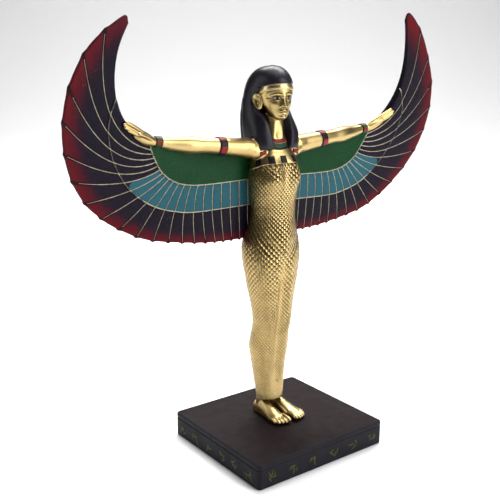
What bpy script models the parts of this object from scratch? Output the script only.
"""A cast resin statuette of a winged goddess with outspread arms, standing on a rectangular plinth.

Metres, +Z up. The figure faces -Y, and the origin is the centre of the plinth's underside.
The figure is one casting with its wings. It stands on the plinth, which is a second piece.
The figure is drawn on a canon of units from the soles to the crown, so its proportions follow its height.
"""

import math

import bpy
import numpy as np
from mathutils import Vector

# Driving dimensions, in metres
PLINTH_WIDTH = 0.106
PLINTH_DEPTH = 0.0955
PLINTH_HEIGHT = 0.0166
PLINTH_CORNER_RADIUS = 0.0030
PLINTH_EDGE_BEVEL = 0.0011
PLINTH_SLAB = 0.0030
GROOVE_WIDTH = 0.0009
GROOVE_DEPTH = 0.0005

FIGURE_HEIGHT = 0.2347
STANDING_GAP = 0.0003

WING_THICKNESS = 0.0042
WING_EDGE_THICKNESS = 0.0024
TIER_STEP = 0.0006
RIDGE_HEIGHT = 0.0006
RIDGE_WIDTH = 0.0011
SCALLOP_DEPTH = 0.0010
FEATHERS = 21

BAND_THICKNESS = 0.0005
ARMLET_WIDTH = 0.0050
BRACELET_WIDTH = 0.0046
HEADBAND_THICKNESS = 0.0005
COLLAR_THICKNESS = 0.0006

# The canon, in units of which the figure's height has CANON
CANON = 234.7
UNIT = FIGURE_HEIGHT / CANON
SOLE_Z = PLINTH_HEIGHT + STANDING_GAP

# Body sections from hem to throat: height, half width, half depth, centre in y
BODY_SECTIONS = [
    (12.5, 9.6, 8.4, 9.6),
    (15.0, 10.0, 8.6, 9.7),
    (26.0, 11.4, 9.2, 10.7),
    (35.0, 12.5, 10.0, 11.2),
    (42.0, 13.5, 10.8, 11.3),
    (50.0, 14.7, 11.4, 11.2),
    (57.0, 14.3, 11.0, 10.2),
    (65.0, 13.9, 10.6, 8.8),
    (73.0, 14.7, 11.3, 7.8),
    (82.0, 16.0, 12.4, 8.2),
    (91.0, 17.8, 13.8, 8.7),
    (100.0, 19.4, 14.9, 8.8),
    (109.0, 20.6, 15.8, 9.2),
    (116.0, 20.8, 16.0, 9.8),
    (123.0, 19.4, 14.8, 9.9),
    (133.0, 16.8, 13.0, 8.8),
    (143.0, 16.3, 12.6, 7.8),
    (152.0, 16.8, 12.6, 7.6),
    (160.0, 17.4, 12.4, 8.0),
    (168.0, 17.6, 12.0, 8.8),
    (176.0, 16.6, 11.0, 9.2),
    (183.0, 14.2, 9.2, 9.4),
    (187.5, 10.0, 7.6, 9.4),
    (191.0, 6.8, 6.4, 9.2),
    (196.0, 6.0, 5.8, 9.2),
    (206.0, 5.9, 5.8, 9.4),
]
# Heights of the body's rings, closer together where the form turns faster
BODY_RUNS = [
    (12.5, 15.0, 1),
    (15.0, 57.0, 5),
    (57.0, 73.0, 3),
    (73.0, 109.0, 4),
    (109.0, 123.0, 3),
    (123.0, 152.0, 4),
    (152.0, 180.4, 9),
    (180.4, 190.6, 4),
    (190.6, 206.0, 3),
]

# Soft forms on the body: x, height, spread across, spread up, side (1 front, -1 back), swell
BODY_SWELLS = [
    (9.2, 167.0, 6.4, 7.6, 1, 6.6),
    (-9.2, 167.0, 6.4, 7.6, 1, 6.6),
    (0.0, 133.0, 9.0, 11.0, 1, 2.0),
    (8.5, 111.0, 7.5, 11.0, -1, 3.2),
    (-8.5, 111.0, 7.5, 11.0, -1, 3.2),
    (8.0, 66.0, 4.5, 7.0, 1, 1.6),
    (-8.0, 66.0, 4.5, 7.0, 1, 1.6),
]
LEG_GROOVE = (3.4, 3.6)
LEG_GROOVE_HEIGHTS = (20.0, 98.0)
LEG_GROOVE_FADE = 26.0
SPINE_GROOVE = (3.0, 1.4)
SPINE_HEIGHTS = (128.0, 170.0)
SPINE_FADE = 12.0

# Collar round the throat: lowest and highest height
COLLAR_HEIGHTS = (181.6, 189.6)

# Arm sections from the shoulder to the knuckles: x, y, height, half depth, half height
ARM_SECTIONS = [
    (7.0, 9.6, 182.4, 7.2, 6.4),
    (17.0, 9.2, 184.0, 6.6, 6.6),
    (26.0, 8.9, 185.0, 5.6, 6.0),
    (41.0, 9.0, 186.7, 5.0, 5.2),
    (53.0, 9.9, 187.8, 4.5, 4.7),
    (62.0, 10.9, 188.5, 4.9, 5.3),
    (74.0, 11.9, 189.8, 3.9, 4.1),
    (83.0, 12.1, 191.4, 3.0, 3.0),
    (87.0, 11.4, 192.0, 2.6, 2.9),
    (91.0, 10.6, 193.4, 2.4, 3.5),
    (95.0, 9.6, 195.3, 2.1, 3.8),
    (98.6, 8.7, 197.2, 1.6, 3.6),
]
ARMLET_CENTRE = 41.0
BRACELET_CENTRE = 83.0

# Fingers from root to tip: x, y, height of the root, then of the tip, then the radius at the root
FINGERS = {
    "index": ((96.8, 9.2, 199.3), (106.6, 6.6, 204.4), 1.20),
    "middle": ((97.6, 8.9, 197.8), (107.8, 6.0, 202.2), 1.25),
    "ring": ((97.6, 8.8, 196.1), (107.2, 6.2, 199.8), 1.20),
    "little": ((97.0, 8.9, 194.5), (104.6, 7.0, 197.2), 1.05),
    "thumb": ((90.0, 9.6, 195.2), (97.8, 6.5, 200.0), 1.30),
}

# Head sections from chin to crown: height, half width, front, back
HEAD_SECTIONS = [
    (201.0, 1.2, -0.6, 2.6),
    (201.6, 3.2, -2.2, 5.0),
    (203.2, 5.6, -3.0, 10.0),
    (206.0, 7.8, -3.1, 15.0),
    (210.0, 9.4, -3.1, 18.5),
    (214.0, 10.4, -3.2, 20.6),
    (218.0, 10.9, -3.6, 21.4),
    (222.0, 10.7, -3.5, 21.2),
    (226.0, 9.4, -1.6, 19.4),
    (229.0, 6.8, 2.4, 16.0),
    (230.8, 3.2, 5.6, 12.4),
]
HEAD_TURN = math.radians(6.0)
HEAD_AXIS_Y = 9.0
HEADBAND_HEIGHTS = (220.6, 224.2)
HEADBAND_SLOPE = (0.27, 216.0, 220.0)
BROW, NOSE_BASE, MOUTH, EYES, CHIN = 217.6, 209.6, 206.7, 215.0, 202.6
EYE_OFFSET = 4.6
EAR_CENTRE = (10.9, 9.6, 212.8)
EAR_RADII = (1.5, 2.3, 4.6)

# Wig sections from its lower edge to the crown: height in front, height behind, half width in front,
# half width behind, front, back, half angle of the face opening in degrees
WIG_SECTIONS = [
    (183.8, 172.0, 16.6, 16.8, -1.0, 25.4, 26.0),
    (187.0, 178.0, 17.2, 17.4, -1.2, 27.0, 27.0),
    (193.0, 188.0, 17.4, 17.8, -0.4, 28.4, 32.0),
    (199.0, 197.0, 17.0, 17.8, 1.0, 29.2, 42.0),
    (204.0, 203.5, 15.8, 17.4, 1.8, 29.6, 62.0),
    (208.0, 208.0, 14.4, 16.8, 1.4, 29.6, 82.0),
    (213.0, 212.5, 13.4, 16.2, 0.2, 29.4, 86.0),
    (218.0, 215.0, 12.8, 15.6, -1.2, 29.0, 86.0),
    (223.6, 217.6, 12.2, 15.0, -2.2, 28.8, 86.0),
    (224.3, 218.6, 12.2, 14.9, -3.3, 28.7, 86.0),
    (226.6, 222.0, 11.9, 14.2, -2.8, 27.8, 86.0),
    (229.6, 226.4, 10.7, 12.6, -0.9, 25.8, 86.0),
    (232.4, 230.6, 8.5, 9.8, 2.0, 22.4, 86.0),
    (234.4, 233.6, 4.8, 5.4, 6.0, 17.6, 86.0),
]
WIG_CAP_START = 9
WIG_HEART = (0.5, 9.5)
WIG_LIP = (1.4, 0.8)
WIG_GROOVE = (112.0, 1.2, 213.0)
WIG_BACK_ANGLES = (104.0, 112.0, 120.0, 132.0, 144.0, 156.0, 168.0)
WIG_CAP_ANGLES = (44.0, 14.0)

# Feet, from heel to toes along -Y: y, centre x, half width, height of the instep
FOOT_SECTIONS = [
    (21.6, 5.0, 2.0, 3.0),
    (20.2, 5.1, 3.6, 6.0),
    (16.0, 5.2, 4.3, 9.5),
    (10.0, 5.4, 4.4, 11.0),
    (4.0, 5.8, 4.7, 9.2),
    (-2.0, 6.3, 5.3, 6.6),
    (-6.5, 6.7, 5.8, 4.8),
]
TOES = 5
TOE_HEIGHT = 3.3
TOE_TIPS = (-15.0, -10.4)
ANKLE = (5.0, 12.4, 3.9, 4.6)
ANKLE_HEIGHTS = (2.0, 18.0)

# The wing's long lines, from the leading edge to the root: x, height
ARM_LINE = [(86, 191), (80, 190), (60, 188.5), (8, 186)]
COVERT_LINE = [(88.5, 190), (87.2, 186.2), (83.5, 179), (79, 172.5), (72, 167.2), (62, 163.8), (45, 162.7),
               (8, 163.5)]
ARC_LINE = [(112, 219.7), (116.2, 208.5), (116.9, 198), (113.4, 183.4), (105.3, 169.3), (96, 159.9),
            (84, 152.5), (69, 148), (52, 146.2), (8, 146.8)]
OUTER_LINE = [(106.4, 260.4), (109.2, 264.9), (122.4, 254.8), (132.6, 242), (141.2, 224.5), (144.4, 206),
              (143.2, 189.8), (138.2, 173.6), (129.4, 159.4), (120.6, 150.8), (110.4, 143.2), (90.4, 133.4),
              (65, 128), (40, 125), (8, 124.6)]

# Feather spacing along each line: first share, last share, feathers between which it changes
COVERT_SPACING = (1.0, 2.46, 7, 18)
ARC_SPACING = (1.0, 0.63, 0, 5)
OUTER_SPACING = (1.3, 0.40, 0, 16)

# The wing's front face stands at one depth near the body and leans forward beyond a soft knee
WING_FRONT = 16.0
WING_LEAN = 0.185
WING_LEAN_ASIDE = 0.6
WING_KNEE = (226.0, 12.0)
# The casting's left wing tip stands a little higher than its right
TIP_LIFT = {-1: -4.0, 1: 5.0}
TIP_LIFT_HEIGHTS = (236.0, 266.0)
LEADING_EDGE_SWELL = 1.2

# Rows across the wing: reach, then how many steps the tier stands forward, then how strong its ridges are
COVERT_ROWS = [(-1.0, 2.0), (-0.12, 2.0)]
FEATHER_ROWS = [
    (0.0, 1.0, 1.0),
    (0.4, 1.0, 1.0),
    (0.92, 1.0, 1.0),
    (1.0, 0.0, 1.0),
    (1.4, 0.0, 1.0),
    (1.75, 0.0, 1.0),
    (2.0, 0.0, 0.5),
]
BACK_ROWS = (-1.0, 0.0, 0.5, 1.0, 1.5, 2.0)

SHARP_ANGLE = math.radians(34.0)


def smoothstep(value):
    """A ramp from 0 to 1 with level ends."""
    t = np.clip(value, 0.0, 1.0)
    return t * t * (3.0 - 2.0 * t)


def catmull(keys, position):
    """The smooth curve through rows of numbers at a fractional row number."""
    keys = np.asarray(keys, float)
    row = int(min(max(math.floor(position), 0), len(keys) - 2))
    t = position - row
    p1, p2 = keys[row], keys[row + 1]
    p0 = keys[row - 1] if row > 0 else 2 * p1 - p2
    p3 = keys[row + 2] if row + 2 < len(keys) else 2 * p2 - p1
    return 0.5 * (2 * p1 + (p2 - p0) * t + (2 * p0 - 5 * p1 + 4 * p2 - p3) * t**2
                  + (3 * p1 - p0 - 3 * p2 + p3) * t**3)


def at_height(sections, height):
    """The section at a height, smoothly between the listed ones, with the height left out."""
    heights = [s[0] for s in sections]
    row = int(np.clip(np.searchsorted(heights, height) - 1, 0, len(heights) - 2))
    share = (height - heights[row]) / (heights[row + 1] - heights[row])
    return catmull(sections, row + share)[1:]


def even_curve(points, samples=400):
    """A function giving the point of the smooth curve at a share of its length."""
    dense = np.array([catmull(points, k * (len(points) - 1) / samples) for k in range(samples + 1)])
    steps = np.linalg.norm(np.diff(dense, axis=0), axis=1)
    along = np.concatenate([[0.0], np.cumsum(steps)]) / steps.sum()
    return lambda share: np.array([np.interp(share, along, dense[:, k]) for k in range(dense.shape[1])])


def material(name, colour, roughness, metallic):
    """A plain finish in the piece's colour."""
    made = bpy.data.materials.new(name)
    made.use_nodes = True
    shader = made.node_tree.nodes["Principled BSDF"]
    shader.inputs["Base Color"].default_value = (*colour, 1.0)
    shader.inputs["Roughness"].default_value = roughness
    shader.inputs["Metallic"].default_value = metallic
    return made


def solid(name, points, faces, finish=None):
    """An object from points in canon units above the soles, its faces outwards and smooth on round parts."""
    scaled = [Vector((p[0], p[1], p[2])) * UNIT + Vector((0, 0, SOLE_Z)) for p in points]
    mesh = bpy.data.meshes.new(name)
    mesh.from_pydata(scaled, [], faces)
    mesh.validate()
    volume = 0.0
    for face in faces:
        for k in range(1, len(face) - 1):
            volume += scaled[face[0]].dot(scaled[face[k]].cross(scaled[face[k + 1]]))
    if volume < 0:
        mesh.flip_normals()
    mesh.shade_smooth()
    mesh.set_sharp_from_angle(angle=SHARP_ANGLE)
    made = bpy.data.objects.new(name, mesh)
    bpy.context.scene.collection.objects.link(made)
    if finish:
        mesh.materials.append(finish)
    return made


def loft(name, rings, finish=None):
    """A closed solid through rings of equal count, its ends closed by fans."""
    count = len(rings[0])
    points = [p for ring in rings for p in ring]
    faces = []
    for r in range(len(rings) - 1):
        for k in range(count):
            a, b = r * count + k, r * count + (k + 1) % count
            faces.append((a, b, b + count, a + count))
    for ring, flip in ((0, True), (len(rings) - 1, False)):
        centre = len(points)
        points.append(tuple(np.mean(rings[ring], axis=0)))
        for k in range(count):
            a, b = ring * count + k, ring * count + (k + 1) % count
            faces.append((b, a, centre) if flip else (a, b, centre))
    return solid(name, points, faces, finish)


def groove_strength(height, heights, fade):
    """One between two heights, fading to none beyond them."""
    low, high = heights
    return float(smoothstep((height - low) / fade + 0.5) * smoothstep((high - height) / fade + 0.5))


def body_point(height, angle):
    """A point of the dressed body at a height, at an angle from the front."""
    half_width, half_depth, centre = at_height(BODY_SECTIONS, height)
    x = half_width * math.sin(angle)
    front = math.cos(angle)
    depth = half_depth * front
    for sx, sz, across, up, side, swell in BODY_SWELLS:
        near = math.exp(-((x - sx) / across) ** 2 - ((height - sz) / up) ** 2)
        depth += side * swell * near * float(smoothstep(side * front * 2.5))
    across, sink = LEG_GROOVE
    notch = sink * math.exp(-((x / across) ** 2))
    notch *= groove_strength(height, LEG_GROOVE_HEIGHTS, LEG_GROOVE_FADE)
    across, sink = SPINE_GROOVE
    spine = sink * math.exp(-((x / across) ** 2))
    spine *= groove_strength(height, SPINE_HEIGHTS, SPINE_FADE)
    depth -= math.copysign(notch, front) * min(1.0, abs(front) * 3)
    depth += spine if front < 0 else 0.0
    low, high = COLLAR_HEIGHTS
    if low <= height <= high:
        collar = COLLAR_THICKNESS / UNIT
        x += collar * math.sin(angle)
        depth += collar * front
    return x, centre - depth, height


def body(sides):
    """The body in its tight dress, from the hem to inside the head."""
    heights = [low + (high - low) * k / steps for low, high, steps in BODY_RUNS for k in range(steps)]
    heights.append(BODY_RUNS[-1][1])
    heights += [edge + near for edge in COLLAR_HEIGHTS for near in (-0.3, 0.3)]
    heights.sort()
    angles = [2 * math.pi * k / sides for k in range(sides)]
    return loft("body", [[body_point(h, a) for a in angles] for h in heights])


def face_swell(x, height):
    """How far the face stands forward of the plain head: nose, brow, eyes, lips, chin and cheeks."""
    def bump(cx, cz, across, up):
        return math.exp(-((x - cx) / across) ** 2 - ((height - cz) / up) ** 2)

    down = float(np.clip((BROW - height) / (BROW - NOSE_BASE), 0.0, 1.0))
    ends = float(smoothstep((height - NOSE_BASE + 1.2) / 1.2) * smoothstep((BROW + 1.0 - height) / 2.0))
    swell = (0.5 + 2.1 * down) * ends * math.exp(-((x / (1.3 + 0.7 * down)) ** 2))
    for side in (-1, 1):
        swell -= 1.2 * bump(side * EYE_OFFSET, EYES, 3.0, 1.6)
        swell += 0.9 * bump(side * EYE_OFFSET, EYES, 2.0, 0.9)
        swell += 0.3 * bump(side * 5.0, BROW, 3.6, 0.9)
        swell += 0.5 * bump(side * 6.4, 211.0, 3.0, 3.0)
    swell += 0.8 * bump(0, MOUTH + 0.7, 2.8, 0.9) + 0.8 * bump(0, MOUTH - 0.9, 2.4, 0.9)
    swell += 0.8 * bump(0, CHIN, 3.0, 1.6)
    return swell


def turned(point):
    """A point of the head after its slight turn to the figure's right."""
    x, y, height = point
    y -= HEAD_AXIS_Y
    cosine, sine = math.cos(HEAD_TURN), math.sin(HEAD_TURN)
    return x * cosine + y * sine, y * cosine - x * sine + HEAD_AXIS_Y, height


def head_point(height, angle):
    """A point of the head at a height, at an angle from the front; its rings slope above the ears."""
    half_width, front, back = at_height(HEAD_SECTIONS, height)
    facing = math.cos(angle)
    centre = 0.62 * front + 0.38 * back
    x = half_width * math.copysign(abs(math.sin(angle)) ** 0.92, math.sin(angle))
    y = centre - (centre - front) * facing if facing > 0 else centre - (back - centre) * facing
    slope, start, end = HEADBAND_SLOPE
    drop = slope * (y - front) * float(smoothstep((height - start) / (end - start)))
    y -= face_swell(x, height) * float(smoothstep(facing * 2.0))
    low, high = HEADBAND_HEIGHTS
    if low <= height <= high:
        band = HEADBAND_THICKNESS / UNIT
        x += band * math.sin(angle)
        y -= band * facing
    return turned((x, y, height - min(drop, 4.0)))


def head():
    """The head with its face, closed inside the wig."""
    low, high = HEAD_SECTIONS[0][0], HEAD_SECTIONS[-1][0]
    band_low, band_high = HEADBAND_HEIGHTS
    heights = [low, 201.6, 202.6, 204.0, 205.6, 206.6, 207.6, 208.8, 209.8, 211.0, 212.4, 213.8, 215.0, 216.2,
               217.4, 218.8, band_low - 0.1, band_low + 0.1, band_high - 0.1, band_high + 0.1, 227.0, 229.4,
               high]
    shares = np.linspace(-1, 1, 25)[:-1]
    angles = [math.pi * math.copysign(abs(s) ** 1.55, s) for s in shares]
    return loft("head", [[head_point(h, a) for a in angles] for h in heights])


def ball(name, centre, radii, sides=8, levels=5, tilt=0.0):
    """An ellipsoid, tilted outwards about the vertical and turned with the head."""
    rings = []
    for level in range(1, levels):
        up = math.pi * level / levels
        ring = []
        for k in range(sides):
            turn = 2 * math.pi * k / sides
            x = radii[0] * math.sin(up) * math.cos(turn)
            y = radii[1] * math.sin(up) * math.sin(turn)
            ring.append(turned((centre[0] + x * math.cos(tilt) - y * math.sin(tilt),
                                centre[1] + x * math.sin(tilt) + y * math.cos(tilt),
                                centre[2] - radii[2] * math.cos(up))))
        rings.append(ring)
    return loft(name, rings)


def wig_point(section, degrees):
    """A point of the wig's outer face at an angle from the front, with the groove behind the lappets."""
    front_height, back_height, front_width, back_width, front, back, _ = section
    angle = math.radians(degrees)
    facing = math.cos(angle)
    centre = 0.5 * (front + back)
    half_width = front_width + (back_width - front_width) * float(smoothstep(0.6 - facing))
    x = half_width * math.copysign(abs(math.sin(angle)) ** 0.85, math.sin(angle))
    y = centre - (centre - front) * math.copysign(abs(facing) ** 0.85, facing)
    height = front_height + (back_height - front_height) * 0.5 * (1.0 - facing)
    groove, sink, top = WIG_GROOVE
    depth = 0.0
    if abs(abs(degrees) - groove) < 1.0:
        depth = sink * float(smoothstep((top - front_height) / 8.0))
    return x - depth * math.sin(angle), y + depth * facing, height


def wig():
    """The long smooth wig: a cap, a mantle behind the shoulders and two lappets in front."""
    rings = []
    for number, section in enumerate(WIG_SECTIONS):
        opening = section[-1]
        start = [opening + (WIG_BACK_ANGLES[0] - opening) * k / 3 for k in range(3)]
        half = start + list(WIG_BACK_ANGLES)
        outer = [wig_point(section, a) for a in half + [180.0] + [-a for a in half[::-1]]]
        if number >= WIG_CAP_START:
            inner = [wig_point(section, -a) for a in WIG_CAP_ANGLES]
            inner += [wig_point(section, a) for a in WIG_CAP_ANGLES[::-1]]
        else:
            heart_x, heart_y = WIG_HEART
            forward, inward = WIG_LIP
            forward *= math.sin(math.radians(opening)) ** 4
            x, y, height = outer[0]
            inner = [(-x * inward, y - forward, height), (-heart_x, heart_y, height),
                     (heart_x, heart_y, height), (x * inward, y - forward, height)]
        rings.append(outer + inner)
    return loft("wig", rings)


def arm_ring(section, grow, side, sides):
    """A ring round the arm at one section, grown outwards, with its axis turned to the arm's slope."""
    x, y, height, half_depth, half_height, slope = section
    ring = []
    for k in range(sides):
        turn = 2 * math.pi * k / sides
        out = (half_height + grow) * math.sin(turn)
        ring.append((side * (x - out * math.sin(slope)), y + (half_depth + grow) * math.cos(turn),
                     height + out * math.cos(slope)))
    return ring


def arm_section(x):
    """The arm's section where its axis is at x, with the axis's slope."""
    rows = [(s[0], *s) for s in ARM_SECTIONS]
    here = at_height(rows, x)
    step = 1.5
    ahead, behind = at_height(rows, min(x + step, rows[-1][0])), at_height(rows, max(x - step, rows[0][0]))
    slope = math.atan2(ahead[2] - behind[2], ahead[0] - behind[0])
    return (*here, slope)


def arm(side, sides=10):
    """One arm with its armlet and bracelet, down to the knuckles."""
    band = BAND_THICKNESS / UNIT
    stations = [(s[0], 0.0) for s in ARM_SECTIONS]
    for centre, width in ((ARMLET_CENTRE, ARMLET_WIDTH), (BRACELET_CENTRE, BRACELET_WIDTH)):
        half = 0.5 * width / UNIT
        stations = [s for s in stations if abs(s[0] - centre) > half + 0.5]
        stations += [(centre - half, 0.0), (centre - half + 0.15, band), (centre, band),
                     (centre + half - 0.15, band), (centre + half, 0.0)]
    rings = [arm_ring(arm_section(x), grow, side, sides) for x, grow in sorted(stations)]
    return loft(f"arm_{'left' if side > 0 else 'right'}", rings)


def finger(name, side, sides=6):
    """One finger or thumb: a tapered rod with a rounded tip, laid along the wing."""
    root, tip, radius = FINGERS[name]
    root, tip = Vector(root), Vector(tip)
    along = (tip - root).normalized()
    across = along.cross(Vector((0, 1, 0))).normalized()
    out = along.cross(across)
    rings = []
    length = (tip - root).length
    for share, width in ((0.0, 1.0), (0.5, 1.05), (0.9, 0.85), (1.0, 0.35)):
        centre = root + along * length * share
        ring = [centre + (across * math.cos(2 * math.pi * k / sides) + out * math.sin(2 * math.pi * k / sides))
                * radius * width for k in range(sides)]
        rings.append([(side * p.x, p.y, p.z) for p in ring])
    return loft(f"{name}_{side}", rings)


def foot_grid():
    """The top of one foot as rows from heel to toes, each running from the inner to the outer side."""
    across = 3 * TOES
    rows = []
    for y, centre, half_width, height in FOOT_SECTIONS:
        turns = [math.pi * k / across for k in range(across + 1)]
        rows.append([(centre - half_width * math.cos(t), y, 0.5 + height * math.sin(t) ** 0.6) for t in turns])
    start, centre, half_width, height = FOOT_SECTIONS[-1]
    big, little = TOE_TIPS
    for share, cleft, low in ((0.4, 0.45, 0.9), (0.8, 0.7, 0.75), (1.0, 0.8, 0.35)):
        row = []
        for k in range(across + 1):
            lobe = 0.0 if k % 3 == 0 else 1.0
            tip = big + (little - big) * (k / across) ** 1.3
            x = centre - half_width * (1 - 0.08 * share) * math.cos(math.pi * k / across)
            top = (TOE_HEIGHT + (height - TOE_HEIGHT) * (1 - share)) * low
            z = 0.5 + top * (1 - cleft * (1 - lobe)) * math.sin(math.pi * max(k, 0.4) / across) ** 0.3
            row.append((x, start + (tip - start) * share * (0.86 + 0.14 * lobe), max(z, 0.5)))
        rows.append(row)
    return rows


def foot(side):
    """One bare foot, flat below, with five toes; the big toe is on the inner side."""
    rows = foot_grid()
    width = len(rows[0])
    points = [(side * x, y, z) for row in rows for x, y, z in row]
    faces = []
    for r in range(len(rows) - 1):
        for k in range(width - 1):
            a = r * width + k
            faces.append((a, a + 1, a + width + 1, a + width))
    last = len(rows) - 1
    rim = list(range(width))
    rim += [r * width + width - 1 for r in range(1, last + 1)]
    rim += [last * width + k for k in range(width - 2, -1, -1)]
    rim += [r * width for r in range(last - 1, 0, -1)]
    sole = len(points)
    points += [(points[a][0], points[a][1], 0.0) for a in rim]
    for k in range(len(rim)):
        after = (k + 1) % len(rim)
        faces.append((rim[after], rim[k], sole + k, sole + after))
    faces.append(tuple(sole + k for k in reversed(range(len(rim)))))
    return solid(f"foot_{side}", points, faces)


def ankle(side, sides=12):
    """The ankle, from inside the foot to inside the hem."""
    x, y, across, deep = ANKLE
    rings = []
    for height in np.linspace(*ANKLE_HEIGHTS, 4):
        rings.append([(side * (x + across * math.cos(2 * math.pi * k / sides)),
                       y + deep * math.sin(2 * math.pi * k / sides), height) for k in range(sides)])
    return loft(f"ankle_{side}", rings)


def shares_of(spacing):
    """Where each feather's edge falls along a line, from 0 to 1."""
    first, last, start, end = spacing
    change = np.clip((np.arange(FEATHERS) - start) / (end - start), 0, 1)
    steps = first + (last - first) * change
    return np.concatenate([[0.0], np.cumsum(steps)]) / steps.sum()


class Wing:
    """The wing's shape: every point is named by a feather number and a reach.

    The feather number runs from 0 at the leading edge to FEATHERS at the root. The reach is -1 behind the arm,
    0 where the feathers start, 1 at the arc between the two tiers, and 2 at the outer edge.
    """

    def __init__(self, side):
        self.side = side
        self.lines = [even_curve(line) for line in (ARM_LINE, COVERT_LINE, ARC_LINE, OUTER_LINE)]
        self.shares = [shares_of(s) for s in (COVERT_SPACING, COVERT_SPACING, ARC_SPACING, OUTER_SPACING)]

    def on_line(self, line, feather):
        share = float(np.interp(feather, range(FEATHERS + 1), self.shares[line]))
        return self.lines[line](share)

    def flat(self, feather, reach):
        """The point's x and height, before any depth."""
        arm_side, covert, arc, outer = (self.on_line(line, feather) for line in range(4))
        if reach < 0:
            x, height = covert + (arm_side - covert) * -reach
        else:
            x, height = (covert * (reach - 1) * (reach - 2) / 2 - arc * reach * (reach - 2)
                         + outer * reach * (reach - 1) / 2)
        low, high = TIP_LIFT_HEIGHTS
        return x, height + TIP_LIFT[self.side] * float(smoothstep((height - low) / (high - low)))

    def front(self, x, height):
        """The plain front face in y."""
        knee, soft = WING_KNEE
        beyond = height + WING_LEAN_ASIDE * x - knee
        return WING_FRONT - WING_LEAN * 0.5 * (beyond + math.hypot(beyond, soft))

    def thickness(self, feather, reach):
        """The wing's thickness, thinner towards the outer edge and fuller along the leading edge."""
        thin = float(smoothstep((reach - 0.6) / 1.4))
        plain = WING_THICKNESS + (WING_EDGE_THICKNESS - WING_THICKNESS) * thin
        return plain / UNIT + LEADING_EDGE_SWELL * math.exp(-feather * 1.6) * (1 - 0.8 * thin)

    def point(self, feather, reach, aside=0.0, lift=0.0, back=False):
        """A point of the front or back face, moved aside along the row and lifted off the face."""
        x, height = self.flat(feather, reach)
        if aside:
            next_x, next_height = self.flat(feather + math.copysign(0.1, aside), reach)
            room = math.hypot(next_x - x, next_height - height)
            move = min(abs(aside), 3.5 * room) / room
            x += (next_x - x) * move
            height += (next_height - height) * move
        elif reach == 2.0 and 0 < feather < FEATHERS and feather == int(feather):
            near_x, near_height = self.flat(feather, 1.9)
            out = SCALLOP_DEPTH / UNIT / math.hypot(x - near_x, height - near_height)
            x += (x - near_x) * out
            height += (height - near_height) * out
        y = self.front(x, height) - lift
        if back:
            y += lift + self.thickness(feather, max(reach, 0.0))
        return self.side * x, y, height


class Patch:
    """Rows of points joined into one mesh."""

    def __init__(self):
        self.points = []
        self.faces = []

    def row(self, points):
        """Adds a row and returns its point numbers."""
        start = len(self.points)
        self.points.extend(points)
        return list(range(start, len(self.points)))

    def join(self, first, second, marks_first=None, marks_second=None):
        """Fills between two rows with triangles, always taking the row whose next mark comes first."""
        marks_first = marks_first or list(range(len(first)))
        marks_second = marks_second or list(range(len(second)))
        a = b = 0
        while a < len(first) - 1 or b < len(second) - 1:
            step_first = marks_first[a + 1] if a < len(first) - 1 else math.inf
            step_second = marks_second[b + 1] if b < len(second) - 1 else math.inf
            if step_first <= step_second:
                self.faces.append((first[a], first[a + 1], second[b]))
                a += 1
            else:
                self.faces.append((first[a], second[b + 1], second[b]))
                b += 1


def wing(side):
    """One wing: ridged feathers in two tiers below a plain field, with a scalloped outer edge."""
    shape = Wing(side)
    ridge, half_ridge, step = RIDGE_HEIGHT / UNIT, 0.5 * RIDGE_WIDTH / UNIT, TIER_STEP / UNIT
    plain = [0, 0.22, 0.6] + list(range(1, FEATHERS + 1))
    fine = [(0, 0.0), (0.22, 0.0), (0.6, 0.0)]
    fine += [(edge, aside) for edge in range(1, FEATHERS) for aside in (-half_ridge, 0.0, half_ridge)]
    fine.append((FEATHERS, 0.0))
    fine_marks = [edge + 0.1 * (aside > 0) - 0.1 * (aside < 0) for edge, aside in fine]
    patch = Patch()
    fronts, backs = [], []
    for reach, tier in COVERT_ROWS:
        fronts.append((patch.row([shape.point(edge, reach, lift=tier * step) for edge in plain]), plain))
    for reach, tier, strength in FEATHER_ROWS:
        row = []
        for edge, aside in fine:
            crest = ridge * strength if aside == 0.0 and edge >= 1 and edge < FEATHERS else 0.0
            row.append(shape.point(edge, reach, aside, tier * step + crest))
        fronts.append((patch.row(row), fine_marks))
    for reach in BACK_ROWS:
        backs.append((patch.row([shape.point(edge, reach, back=True) for edge in plain]), plain))
    for (low, low_marks), (high, high_marks) in zip(fronts, fronts[1:]):
        patch.join(low, high, low_marks, high_marks)
    for (low, low_marks), (high, high_marks) in zip(backs, backs[1:]):
        patch.join(high, low, high_marks, low_marks)
    patch.join(backs[0][0], fronts[0][0], backs[0][1], fronts[0][1])
    patch.join(fronts[-1][0], backs[-1][0], fronts[-1][1], backs[-1][1])
    front_marks = [row[0] for row in COVERT_ROWS + FEATHER_ROWS]
    back_marks = list(BACK_ROWS)
    patch.join([row[0] for row, _ in fronts], [row[0] for row, _ in backs], front_marks, back_marks)
    patch.join([row[-1] for row, _ in backs], [row[-1] for row, _ in fronts], back_marks, front_marks)
    return solid(f"wing_{side}", patch.points, patch.faces)


def join_all(target, others, guides):
    """Unites the other solids with the target one after another, and leaves them as hidden guides."""
    for other in others:
        bpy.context.scene.collection.objects.unlink(other)
        guides.objects.link(other)
        other.hide_render = True
        other.display_type = "WIRE"
        union = target.modifiers.new(f"join_{other.name}", "BOOLEAN")
        union.operation = "UNION"
        union.solver = "EXACT"
        union.object = other
    return target


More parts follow.
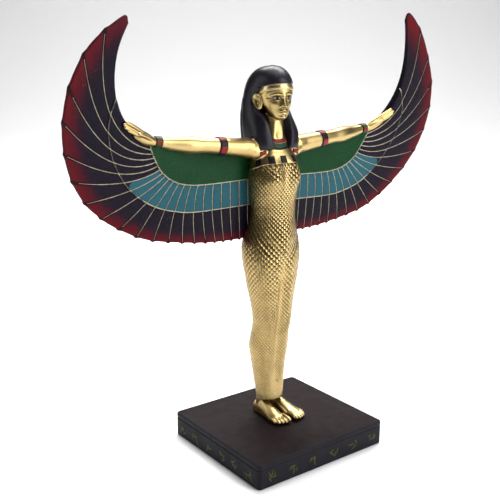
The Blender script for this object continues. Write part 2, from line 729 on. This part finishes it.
def figure():
    """The winged goddess, cast in one."""
    guides = bpy.data.collections.new("guides")
    bpy.context.scene.collection.children.link(guides)
    limbs = []
    for side in (-1, 1):
        limbs.append(join_all(foot(side), [ankle(side)], guides))
        limbs.append(join_all(arm(side), [finger(name, side) for name in FINGERS], guides))
        limbs.append(wing(side))
    x, y, height = EAR_CENTRE
    ears = [ball(f"ear_{side}", (side * x, y, height), EAR_RADII, tilt=side * 0.35) for side in (-1, 1)]
    crowned = join_all(head(), ears + [wig()], guides)
    target = join_all(body(sides=26), limbs + [crowned], guides)
    target.name = "winged_figure"
    target.data.materials.append(material("gold_paint", (0.62, 0.47, 0.20), 0.32, 1.0))
    return target


def rounded_rectangle(half_width, half_depth, radius, height, steps=5):
    """A ring round a rectangle with round corners."""
    ring = []
    for corner, (sx, sy) in enumerate(((1, 1), (-1, 1), (-1, -1), (1, -1))):
        for k in range(steps + 1):
            turn = math.pi / 2 * (corner + k / steps)
            ring.append(((sx * (half_width - radius) + radius * math.cos(turn)),
                         (sy * (half_depth - radius) + radius * math.sin(turn)), height))
    return ring


def plinth():
    """The rectangular plinth, with rounded corners and a fine groove under its top slab."""
    half_width, half_depth = PLINTH_WIDTH / 2, PLINTH_DEPTH / 2
    slab = PLINTH_HEIGHT - PLINTH_SLAB
    levels = [
        (0.0, PLINTH_EDGE_BEVEL),
        (PLINTH_EDGE_BEVEL, 0.0),
        (slab - GROOVE_WIDTH, 0.0),
        (slab - GROOVE_WIDTH / 2, GROOVE_DEPTH),
        (slab, 0.0),
        (PLINTH_HEIGHT - PLINTH_EDGE_BEVEL, 0.0),
        (PLINTH_HEIGHT, PLINTH_EDGE_BEVEL),
    ]
    rings = []
    for height, inset in levels:
        ring = rounded_rectangle(half_width - inset, half_depth - inset, PLINTH_CORNER_RADIUS - inset, height)
        rings.append([(x / UNIT, y / UNIT, (z - SOLE_Z) / UNIT) for x, y, z in ring])
    return loft("plinth", rings, material("plinth_paint", (0.035, 0.03, 0.035), 0.5, 0.0))


def main():
    for old in list(bpy.data.objects):
        bpy.data.objects.remove(old)
    plinth()
    figure()


main()
